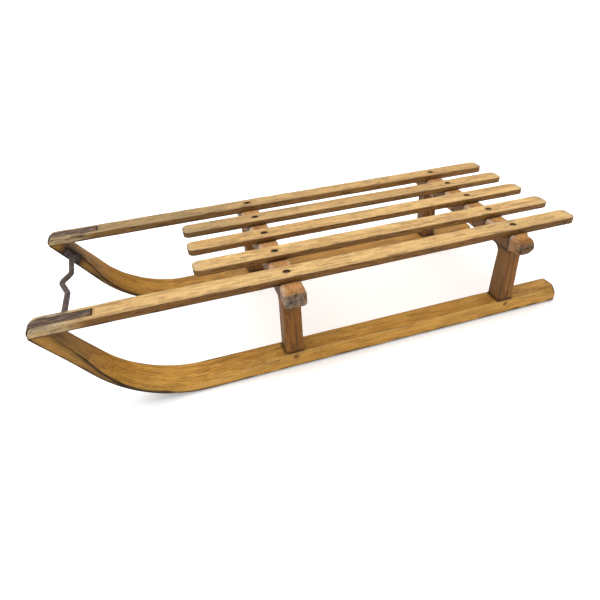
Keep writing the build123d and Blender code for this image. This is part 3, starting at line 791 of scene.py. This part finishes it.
def crossbar(end, seed, knuckle_round, tone, knuckle_tone):
    """A crossbar with rounded knuckles outside the rails and a shallow seat under each board."""
    low, high = np.array(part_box(f"crossbar_{end}"))
    end_lines = np.array([0, 0.25, 0.7, 1.3, 2.1, 3.1, 4.3, 5.8, 7.5, 9.5, 11.7, 14, 16.5]) * MM
    joints = np.array([y + line for y in BOARD_Y for line in SEAT_LINES])
    plain = np.arange(low[1] + 0.0195, high[1] - 0.018, 0.0035)
    plain = plain[np.min(np.abs(plain[:, None] - joints[None]), axis=1) > 0.0009]
    middle = np.sort(np.concatenate([plain, joints]))
    ys = np.concatenate([low[1] + end_lines, middle, high[1] - end_lines[::-1]])
    xs = steps(low[0], high[0], knuckle_round + 0.001, 0.0034)
    zs = steps(low[2], high[2], knuckle_round + 0.001, 0.0034)
    points, faces = cuboid(xs, ys, zs)
    from_end = np.minimum(points[:, 1] - low[1], high[1] - points[:, 1])
    worn = noises(points, (60, 22, 60), (110, 60, 110), seed)
    front_side = rise(low[0], high[0], points[:, 0])
    upper = rise(0.3, 0.9, (points[:, 2] - low[2]) / (high[2] - low[2]))
    radius = (0.0026 + 0.0034 * front_side * upper + 0.0012 * upper) * (1 + 0.4 * worn)
    outside = fade(0.026, 0.034, from_end)
    radius = radius + outside * (knuckle_round - radius)
    points = round_edges(points, low, high, radius)
    upper_z = high[2] - end_shape(from_end, KNUCKLE_TOP)
    lower_z = low[2] + end_shape(from_end, KNUCKLE_BOTTOM)
    share = (points[:, 2] - low[2]) / (high[2] - low[2])
    for y in BOARD_Y:
        bottom = RAIL_BOTTOM if abs(y) == RAIL_Y else SLAT_BOTTOM
        upper_z = np.where(np.abs(points[:, 1] - y) < BOARD_HALF, bottom - SEAT_GAP, upper_z)
    points[:, 2] = lower_z + share * (upper_z - lower_z)
    ripple = noises(points, (110, 26, 110), (230, 120, 230), seed + 3, 0.0003, 0.00016)
    points = np.clip(pushed(points, faces, np.minimum(ripple, 0)), low, high)
    piece = make(f"crossbar_{end}_wood", points, faces)
    p = positions(piece)
    px, py, pz = p.T
    from_end = np.minimum(py - low[1], high[1] - py)
    from_front = high[0] - px
    from_back = px - low[0]
    from_top = high[2] - pz
    from_bottom = pz - low[2]
    knuckle = fade(0.006, 0.02, from_end)
    face_end = fade(0.003, 0.01, from_end + 0.4 * np.clip(pz - high[2] + 0.012, 0, None))
    top_edge = fade(0.002, 0.011, from_front + from_top)
    back_edge = fade(0.001, 0.008, from_back + from_top)
    side_edge = fade(0.001, 0.007, np.minimum(from_front, from_back) + np.maximum(from_end - 0.01, 0))
    wear = np.clip(0.9 * top_edge + 0.45 * back_edge + 0.4 * side_edge * knuckle, 0, 1)
    wear = wear * (1 - 0.6 * face_end)
    # Darker towards the bottom: painted shade on the lower part of the faces.
    stain = 0.5 * fade(0.001, 0.006, from_bottom)
    # Painted shadow of each board: under it the crossbar is darkened all round. Thin darker lines run beside
    # each board's edges.
    for y in BOARD_Y:
        beside = np.abs(np.abs(py - y) - 0.0203)
        stain += 0.75 * fade(0, 0.0032, beside) * (from_end > 0.01)
        stain += 0.6 * (np.abs(py - y) < 0.0202)
    weather = 1.3 * face_end + 0.5 * fade(0, 0.004, from_front) + 0.2
    stain += 0.5 * face_end * rise(0, 0.7, noise(p, (380, 60, 60), seed + 6))
    stain += 0.5 * face_end * rise(0.1, 0.6, noise(p, (110, 110, 110), seed + 8))
    stain += 0.5 * rise(0.3, 0.6, noise(p, (560, 30, 300), seed + 7)) * knuckle
    grain = np.stack([py + seed * 0.17, px - low[0] + 0.006, pz - low[2] + seed * 0.009], 1)
    darker = 1 - (1 - knuckle_tone) * fade(0.008, 0.024, from_end)
    paint(piece, grain, tone * darker, wear=wear, stain=stain, weather=weather)
    finish(piece, f"crossbar_{end}", CROSSBAR_WOOD)


crossbar("front", 83, knuckle_round=0.0068, tone=0.98, knuckle_tone=0.95)
crossbar("rear", 97, knuckle_round=0.0145, tone=0.94, knuckle_tone=0.7)


# ---- legs
LEG_OUTER_Y = 0.178
LEG_FOOT_INNER_Y = 0.142
LEG_NECK_INNER_Y = 0.149
LEG_DEPTH = 0.036
LEG_EDGE = 0.0022
SHOULDER = 0.015
SHOULDER_LIP = 0.0015


def leg(end, side, seed, tone):
    """A leg between runner and crossbar, narrower at the neck and flared inwards at the head."""
    node = f"leg_{end}_{side}"
    low, high = np.array(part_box(node))
    flip = 1 if side == "left" else -1
    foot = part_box("runner_left")[0][2] + RUNNER_HEIGHT
    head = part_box("crossbar_front")[0][2]
    neck_z = head - SHOULDER_LIP - SHOULDER
    xs = steps(low[0], high[0], 0.004, 0.0032)
    ys = steps(0, 1.0, 0.12, 0.09)
    shoulder_z = neck_z + SHOULDER * np.sin(np.linspace(0, pi / 2, 11))
    zs = np.concatenate([np.arange(foot, neck_z - 0.002, 0.0036), shoulder_z, [head]])
    points, faces = cuboid(xs, ys, zs)
    z = points[:, 2]
    climb = np.clip(z - neck_z, 0, SHOULDER)
    flare = SHOULDER - np.sqrt(np.maximum(SHOULDER**2 - climb**2, 0))
    climbed = np.clip((z - foot) / (neck_z - foot), 0, 1)
    inner = LEG_FOOT_INNER_Y + (LEG_NECK_INNER_Y - LEG_FOOT_INNER_Y) * climbed - flare
    width = LEG_OUTER_Y - inner
    # The upright edges are rounded in an even section first, which is then fitted to the leg's width.
    flat = np.stack([points[:, 0], points[:, 1] * LEG_DEPTH], 1)
    worn = noises(points, (70, 1, 26), (120, 3, 80), seed)
    flat = round_edges(flat, (low[0], 0), (high[0], LEG_DEPTH), LEG_EDGE * (1 + 0.5 * worn))
    points = np.stack([flat[:, 0], inner + flat[:, 1] / LEG_DEPTH * width, z], 1)
    ripple = noises(points, (130, 130, 24), (260, 260, 110), seed + 3, 0.0003, 0.00015)
    inside = (z > foot + 0.001) & (z < head - 0.001)
    points = pushed(points, faces, np.minimum(ripple, 0) * inside)
    points[:, 1] *= flip
    if flip < 0:
        faces = faces[:, ::-1]
    piece = make(f"{node}_wood", points, faces)
    p = positions(piece)
    px, y, z = p.T
    y = y * flip
    from_x = np.minimum(px - low[0], high[0] - px)
    wear = 0.3 * fade(0.0006, 0.0045, from_x + LEG_OUTER_Y - y)
    # Darker near the foot and just under the crossbar: painted shade where the leg meets runner and
    # crossbar.
    stain = 0.75 * fade(0, 0.007, z - foot) + 0.7 * fade(0, 0.01, head - z)
    stain += 0.5 * rise(0.1, 0.6, noise(p, (260, 260, 14), seed + 6))
    weather = 0.6 * fade(0, 0.003, high[0] - px)
    grain = np.stack([z + seed * 0.23, px - low[0] + 0.008, y + seed * 0.007], 1)
    paint(piece, grain, tone, wear=wear, stain=stain, weather=weather)
    finish(piece, node, LEG_WOOD)


leg("front", "left", 103, tone=1)
leg("rear", "left", 107, tone=1)
leg("front", "right", 109, tone=0.9)
leg("rear", "right", 113, tone=0.9)


# ---- iron bands
NOSE_ARC = pi - BEND_ANGLE
NOSE_LENGTH = NOSE_RADIUS * NOSE_ARC
UPTURN_END = BEND_END + UPTURN
BAND_HALF = 0.015
BAND_TAPER = (0.334, 0.404)
TIP_SHARE = 2 / 3


def band_place(s, inset):
    """Places (x, z) along the whole band: sole, bend, upturn, nose and the strip in the rail's top."""
    x, z = along(np.minimum(s, UPTURN_END), inset)
    turn = np.clip((s - UPTURN_END) / NOSE_RADIUS, 0, NOSE_ARC)
    angle = BEND_ANGLE + turn
    on_nose = s > UPTURN_END
    x = np.where(on_nose, NOSE_X + (NOSE_RADIUS - inset) * np.sin(angle), x)
    z = np.where(on_nose, NOSE_Z - (NOSE_RADIUS - inset) * np.cos(angle), z)
    return x - np.maximum(s - UPTURN_END - NOSE_LENGTH, 0), z


def band(side, seed, tone):
    """A flat iron strip laid along band_place, narrower and pitted at the tip."""
    low, high = np.array(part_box(f"runner_band_{side}"))
    centre = (low[1] + high[1]) / 2
    s_high = UPTURN_END + NOSE_LENGTH + NOSE_X - BAND_TOP_END
    xs = np.concatenate([np.arange(low[0], UPTURN_END - 0.002, 0.004),
                         np.arange(UPTURN_END, UPTURN_END + NOSE_LENGTH, 0.0012),
                         np.arange(UPTURN_END + NOSE_LENGTH + 0.002, s_high - 0.001, 0.0028),
                         [s_high - 0.0004, s_high]])
    ys = steps(-BAND_HALF, BAND_HALF, 0.0016, 0.0028)
    ts = np.array([0, 0.25, 0.7, 1.5, 2.3, 2.75, 3]) * MM
    points, faces = cuboid(xs, ys, ts)
    worn = noise(points, (50, 90, 0.001), seed)
    radius = 0.0009 * (1 + 0.35 * worn)
    points = round_edges(points, (xs[0], -BAND_HALF, 0), (s_high, BAND_HALF, IRON), radius)
    s, y, t = points.T
    x, z = band_place(s, t)
    taper = np.interp(np.where(s > BEND_END, 1, x), BAND_TAPER, (1, TIP_SHARE))
    ragged = 1 + 0.035 * noise(np.stack([s, np.sign(y), y * 0], 1), (75, 1, 1), seed + 1)
    points = np.stack([x, centre + y * taper * np.minimum(ragged, 1), z], 1)
    outer = fade(0, 0.0012, t)
    surface = np.stack([s, y, y * 0], 1)
    rough = noises(surface, (160, 200, 1), (420, 420, 1), seed + 2, 0.00022, 0.00012)
    rough = np.minimum(rough, 0) * outer * rise(0.24, 0.3, s)
    points = np.clip(pushed(points, faces, rough), low, high)
    piece = make(f"runner_band_{side}_iron", points, faces)
    wear = 0.5 * fade(0, 0.003, BAND_HALF - np.abs(y)) + 0.8 * outer * (s < BEND_START)
    fleck = 1 + 0.35 * noise(np.stack([s, y, t], 1), (120, 260, 1), seed + 5)
    on_nose = rise(UPTURN_END - 0.01, UPTURN_END, s)
    nose_dark = 1 - 0.82 * on_nose * fade(0.012, 0.024, s - UPTURN_END)
    paint(piece, np.stack([s + seed, y, t], 1), fleck * nose_dark * tone, wear=wear)
    finish(piece, f"runner_band_{side}", BAND_IRON)


band("left", 127, tone=1)
band("right", 131, tone=1.2)


# ---- draw rod and its plates
ROD_STRAIGHT_Y = 0.128
ROD_KINK = ((-0.004, -0.062), (0.012, -0.032), (-0.002, 0.01))
ROD_BEND_RADIUS = 0.022
ROD_SPACING = 0.002


def filleted(corners, radius, spacing):
    """Points along a polyline in the XY plane with its corners rounded by smooth curves."""
    path = [np.array(corners[0], float)]
    for before, corner, after in zip(corners, corners[1:], corners[2:]):
        corner = np.array(corner, float)
        u = np.array(before) - corner
        v = np.array(after) - corner
        u, v = u / np.linalg.norm(u), v / np.linalg.norm(v)
        half = acos(float(np.clip(u @ v, -1, 1))) / 2
        reach = radius / tan(half)
        for k in np.linspace(0, 1, 9):
            a, b = corner + u * reach, corner + v * reach
            bulge = (1 - k) ** 2 * a + 2 * k * (1 - k) * corner + k**2 * b
            path.append(bulge)
    path.append(np.array(corners[-1], float))
    dense = [path[0]]
    for a, b in zip(path, path[1:]):
        count = max(1, round(np.linalg.norm(b - a) / spacing))
        dense += [a + (b - a) * k / count for k in range(1, count + 1)]
    return np.array(dense)


def draw_rod():
    low, high = np.array(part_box("draw_rod"))
    radius = (high[2] - low[2]) / 2
    route = [(0, low[1]), (0, -ROD_STRAIGHT_Y), *ROD_KINK, (0, ROD_STRAIGHT_Y), (0, high[1])]
    path = filleted([(ROD_X + x, y) for x, y in route], ROD_BEND_RADIUS, ROD_SPACING)
    tangent = np.gradient(path, axis=0)
    tangent /= np.linalg.norm(tangent, axis=1, keepdims=True)
    side = np.stack([tangent[:, 1], -tangent[:, 0]], 1)
    segments = 28
    turn = 2 * pi * np.arange(segments) / segments
    points, info = [], []
    for k, (centre, across) in enumerate(zip(path, side)):
        for a in turn:
            sideways, upwards = cos(a) * radius, sin(a) * radius
            points.append((*(centre + across * sideways), ROD_Z + upwards))
            info.append((k * 0.003, sideways, upwards))
    points, info = np.array(points), np.array(info)
    faces = []
    for i in range(len(path) - 1):
        here, there = i * segments, (i + 1) * segments
        for k in range(segments):
            following = (k + 1) % segments
            faces.append((here + k, here + following, there + following, there + k))
    rough = noises(info, (70, 260, 260), (300, 500, 500), 3, 0.0002, 0.0001)
    points = pushed(points, np.array(faces), np.minimum(rough, 0))
    last = (len(path) - 1) * segments
    faces += [tuple(range(segments))[::-1], tuple(last + k for k in range(segments))]
    piece = make("draw_rod_iron", points, faces)
    paint(piece, info, 0.85, wear=0.3)
    finish(piece, "draw_rod", ROD_IRON)


draw_rod()

PLATE_HALF_LENGTH = 0.015
PLATE_HALF_HEIGHT = 0.0075
PLATE_CORNER = 0.003
PLATE_CORNER_START = 0.012
PLATE_RIVET_PLACES = (-0.0115, 0.0115)
RIVET_SINK = 0.0006
RIVET_PROFILE = [(0, -0.0003), (0.0018, -0.0003), (0.0021, 0.0001), (0.0016, 0.0006), (0.0008, 0.0009),
                 (0, 0.001)]


def rod_plate(side, seed):
    """A small plate with two rivets on the runner's inner side, in line with the upturn."""
    node = f"rod_plate_{side}"
    low, high = np.array(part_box(node))
    centre = (low + high) / 2
    half = np.array([PLATE_HALF_LENGTH, (high[1] - low[1]) / 2, PLATE_HALF_HEIGHT])
    reaches = ((0.002, 0.002), (0.0003, 0.0005), (0.002, 0.002))
    points, faces = cuboid(*(steps(-h, h, *reach) for h, reach in zip(half, reaches)))
    points = round_edges(points, -half, half, 0.0005)
    corner = np.clip(np.abs(points[:, 0]) - PLATE_CORNER_START, 0, PLATE_CORNER)
    points[:, 2] *= 1 - corner / PLATE_CORNER * 0.18
    rough = noise(points, (300, 300, 300), seed) * 0.0002
    points[:, 1] += np.minimum(rough, 0) * np.sign(points[:, 1])
    turned = points.copy()
    turned[:, 0] = points[:, 0] * COS - points[:, 2] * SIN
    turned[:, 2] = points[:, 0] * SIN + points[:, 2] * COS
    parts = [(turned + centre, faces)]
    face_y = -1 if side == "left" else 1
    for offset in PLATE_RIVET_PLACES:
        dome, dome_faces = lathe(RIVET_PROFILE, 18)
        spot = np.array([offset * COS, 0, offset * SIN]) + centre
        y = centre[1] + face_y * (half[1] + dome[:, 2] - RIVET_SINK)
        lying = np.stack([dome[:, 0] + spot[0], y, dome[:, 1] + spot[2]], 1)
        if face_y > 0:
            dome_faces = [f[::-1] for f in dome_faces]
        parts.append((lying, dome_faces))
    piece = make(f"{node}_iron", *merged(parts))
    paint(piece, positions(piece) + seed, 0.4, wear=0.1)
    finish(piece, node, ROD_IRON)


rod_plate("left", 5)
rod_plate("right", 6)


# ---- screws and pins
SOLE_SCREW_X = (-0.451, -0.241, -0.086, 0.204)
TIP_SCREW_X = (0.422, 0.478)
PIN_RADIUS = 0.003
PIN_LENGTH = 0.0285
HEAD_RIM = 0.0011
SCREW_POINT = 0.006


def slotted_head(radius, height, shank_radius, shank_length, slot=0.0011):
    """A wood screw pointing down, with its head's top at z = 0: one mesh with a real slot."""
    bottom = -height - shank_length
    profile = [(0, bottom), (shank_radius * 0.3, bottom), (shank_radius, bottom + SCREW_POINT),
               (shank_radius, -height), (radius * 0.93, -HEAD_RIM), (radius, -0.0008),
               (radius * 0.96, -0.0003), (radius * 0.7, -0.0001), (radius * 0.35, 0), (0, 0)]
    piece = make("screw_pattern", *lathe(profile, 32))
    outline = [(-slot / 2, -0.0012), (slot / 2, -0.0012), (slot / 2, 0.002), (-slot / 2, 0.002)]
    cut(piece, [prism(outline, -radius * 1.2, radius * 1.2, "Y")])
    pattern = (positions(piece), [tuple(f.vertices) for f in piece.data.polygons])
    bpy.data.objects.remove(piece)
    return pattern


def fixings(node, pattern, matrices, tone=1):
    """One piece with a copy of the pattern at each matrix."""
    points, faces = pattern
    copies = [(points @ m[:3, :3].T + m[:3, 3], faces) for m in map(np.array, matrices)]
    piece = make(f"{node}_iron", *merged(copies))
    paint(piece, positions(piece), tone, wear=0.3)
    finish(piece, node, SCREW_IRON, sharp=30)


def turned_at(place, angle, axis="Z"):
    return Matrix.Translation(place) @ Matrix.Rotation(angle, 4, axis)


board_screw = slotted_head(0.005, 0.0025, 0.0025, 0.0295)
for number, (end, x) in enumerate(zip(("front", "rear"), CROSSBAR_X)):
    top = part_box(f"board_screws_{end}")[1][2]
    fixings(f"board_screws_{end}", board_screw,
            [turned_at((x, y, top), 0.7 * k + number) for k, y in enumerate(BOARD_Y)])

pin = lathe([(0, -PIN_LENGTH), (PIN_RADIUS, -PIN_LENGTH), (PIN_RADIUS, -0.0008), (PIN_RADIUS * 0.8, -0.0002),
             (PIN_RADIUS * 0.4, 0), (0, 0)], 22)
band_screw = slotted_head(0.0039, 0.002, 0.0019, 0.0155, slot=0.0009)
for side, flip in (("left", 1), ("right", -1)):
    face_y = max(abs(corner[1]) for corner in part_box(f"leg_pins_{side}"))
    fixings(f"leg_pins_{side}", pin,
            [turned_at((x, flip * face_y, PIN_Z), -flip * pi / 2, "X") for x in CROSSBAR_X], 0.3)

    places = [turned_at((x, flip * RAIL_Y, 0), pi, "X") @ Matrix.Rotation(x * 40, 4, "Z")
              for x in SOLE_SCREW_X]
    places += [turned_at((x, flip * RAIL_Y, TOP), x * 90 * flip) for x in TIP_SCREW_X]
    fixings(f"band_screws_{side}", band_screw, places)


# ---- floor, light and camera
FLOOR_REACH = 40
FLOOR_THICKNESS = 0.02
WHITE = (1, 1, 1, 1)
LIGHT_FROM = Vector((0.25, -0.3, 1))
CAMERA_PLACE = (0.26385, 0.88334, 0.64325)
CAMERA_TURN = (56.7455, 2.2764, 161.1061)


def stage():
    """A pale floor that glows slightly, an even white sky and one very soft sun."""
    r = FLOOR_REACH
    outline = [(-r, r), (r, r), (r, -r), (-r, -r)]
    plane = make("floor", *prism(outline, -FLOOR_THICKNESS, 0, "Z"))
    s = Shader("floor_paper")
    cloud = s.noise(s.stretch(s.new("ShaderNodeTexCoord", {}).outputs["Object"], (3, 3, 3)), detail=2)
    paper = s.ramp(cloud, [(0.3, (0.95, 0.95, 0.95, 1)), (0.7, (0.97, 0.97, 0.97, 1))])
    s.fill(s.surface, {"Base Color": paper, "Roughness": 0.95, "Specular IOR Level": 0.1,
                       "Emission Color": WHITE, "Emission Strength": 0.24})
    plane.data.materials.append(s.material)
    world = bpy.data.worlds.new("studio")
    world.use_nodes = True
    background = world.node_tree.nodes["Background"]
    background.inputs["Color"].default_value = WHITE
    background.inputs["Strength"].default_value = 0.85
    bpy.context.scene.world = world
    lamp = bpy.data.lights.new("key", "SUN")
    lamp.energy = 1.75
    lamp.angle = radians(70)
    new_object("key", lamp).rotation_euler = (-LIGHT_FROM).to_track_quat("-Z", "Y").to_euler()


def camera():
    lens = bpy.data.cameras.new("camera")
    lens.lens = 30.1526
    lens.sensor_width = 36
    lens.shift_x = -0.02797
    lens.shift_y = -0.01535
    lens.clip_end = 200
    holder = new_object("camera", lens)
    holder.location = CAMERA_PLACE
    holder.rotation_euler = tuple(radians(angle) for angle in CAMERA_TURN)
    bpy.context.scene.camera = holder
    bpy.context.scene.view_settings.view_transform = "Standard"


stage()
camera()

bpy.context.view_layer.update()
